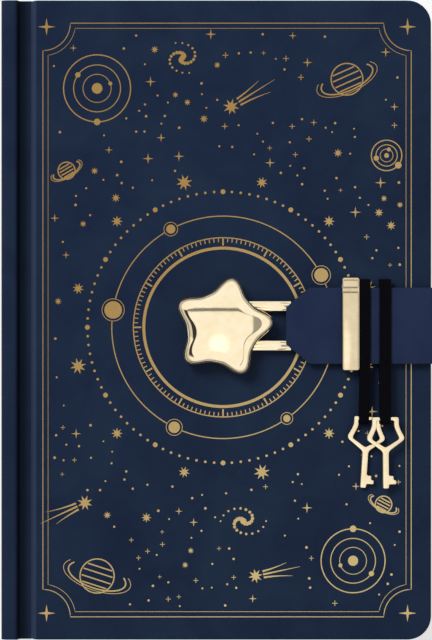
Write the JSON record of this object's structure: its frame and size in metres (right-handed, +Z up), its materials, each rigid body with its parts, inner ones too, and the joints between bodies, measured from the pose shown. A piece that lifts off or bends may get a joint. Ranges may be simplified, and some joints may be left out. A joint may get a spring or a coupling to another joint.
{
  "type": "lock diary",
  "caption": "Hardcover diary closed by a strap with a metal loop that enters a star-shaped lock, with a keeper ring and small keys on elastic loops.",
  "frame": {"origin": "middle of the diary's footprint, on the outer face of the back cover", "axes": "+Z up out of the front cover, +Y towards the head, +X towards the fore edge, spine on the -X side"},
  "size_m": [0.1432, 0.21, 0.0316],
  "materials": {
    "cover_wrap": "soft-touch navy faux leather",
    "strap_skin": "smooth navy faux leather",
    "strap_lining": "matt navy lining",
    "board": "grey binder's board",
    "endpaper": "cream uncoated endpaper",
    "page_paper": "cream uncoated writing paper",
    "spine_cloth": "open spine mull",
    "headband_cloth": "striped headband",
    "gold_metal": "polished pale gold plating",
    "lock_brass": "turned brass",
    "lock_steel": "stamped zinc-plated steel",
    "elastic": "flat woven black elastic"
  },
  "bodies": {
    "book": {"back_cover_wrap": "cover_wrap", "back_board": "board", "back_pastedown": "endpaper", "spine_wrap": "cover_wrap", "spine_board": "board", "signature_1": "page_paper", "signature_2": "page_paper", "signature_3": "page_paper", "signature_4": "page_paper", "signature_5": "page_paper", "signature_6": "page_paper", "signature_7": "page_paper", "signature_8": "page_paper", "back_flyleaf": "endpaper", "front_flyleaf": "endpaper", "spine_lining": "spine_cloth", "headband_top": "headband_cloth", "headband_bottom": "headband_cloth", "strap_tongue": "strap_skin"},
    "front_cover": {"front_cover_wrap": "cover_wrap", "front_board": "board", "front_pastedown": "endpaper", "lock_star_shell": "gold_metal", "lock_base_plate": "lock_steel", "plug_cradle": "lock_steel", "lock_clinch_plate": "lock_steel", "lock_rivet_1": "lock_brass", "lock_rivet_2": "lock_brass", "lock_rivet_3": "lock_brass", "lock_rivet_4": "lock_brass"},
    "plug": {"lock_plug": "lock_brass"},
    "bolt": {"lock_bolt": "lock_steel"},
    "strap_side": {"strap_side_outer": "strap_skin", "strap_side_lining": "strap_lining"},
    "strap_front": {"strap_front_lining": "strap_lining", "strap_front_core": "board", "strap_front_outer": "strap_skin", "hasp_loop": "gold_metal", "key_loop_1_grip": "elastic", "key_loop_2_grip": "elastic"},
    "keeper": {"keeper_ring": "gold_metal"},
    "hanging_key_1": {"key_loop_1_hanging": "elastic", "key_1": "gold_metal"},
    "hanging_key_2": {"key_loop_2_hanging": "elastic", "key_2": "gold_metal"}
  },
  "joints": [
    {"name": "front_cover_open", "type": "hinge", "parent": "book", "child": "front_cover", "pos_m": [-0.06438, 0, 0.02325], "axis": [0, -1, 0], "range_deg": [0, 188]},
    {"name": "strap_side_open", "type": "hinge", "parent": "book", "child": "strap_side", "pos_m": [0.07082, -0.0019, 0.00245], "axis": [0, 1, 0], "range_deg": [0, 80]},
    {"name": "strap_front_open", "type": "hinge", "parent": "strap_side", "child": "strap_front", "pos_m": [0.07082, -0.0019, 0.02515], "axis": [0, 1, 0], "range_deg": [0, 100]},
    {"name": "key_plug_turn", "type": "hinge", "parent": "front_cover", "child": "plug", "pos_m": [-0.003, -0.0029, 0.0261], "axis": [1, 0, 0], "range_deg": [0, 90]},
    {"name": "bolt_slide", "type": "slide", "parent": "front_cover", "child": "bolt", "axis": [0, 1, 0], "range_m": [-0.0019, 0]},
    {"name": "keeper_slide", "type": "slide", "parent": "strap_front", "child": "keeper", "axis": [1, 0, 0], "range_m": [-0.009, 0]},
    {"name": "key_1_swing", "type": "hinge", "parent": "strap_front", "child": "hanging_key_1", "pos_m": [0.04772, -0.01865, 0.025], "axis": [0, 0, 1], "range_deg": [-25, 0]},
    {"name": "key_2_swing", "type": "hinge", "parent": "strap_front", "child": "hanging_key_2", "pos_m": [0.05427, -0.01885, 0.026], "axis": [0, 0, 1], "range_deg": [0, 25]}
  ],
  "couplings": [
    {"joint": "strap_front_open", "follows": "strap_side_open", "ratio": 1.25},
    {"joint": "key_plug_turn", "follows": "bolt_slide", "rad_per_m": -826}
  ]
}
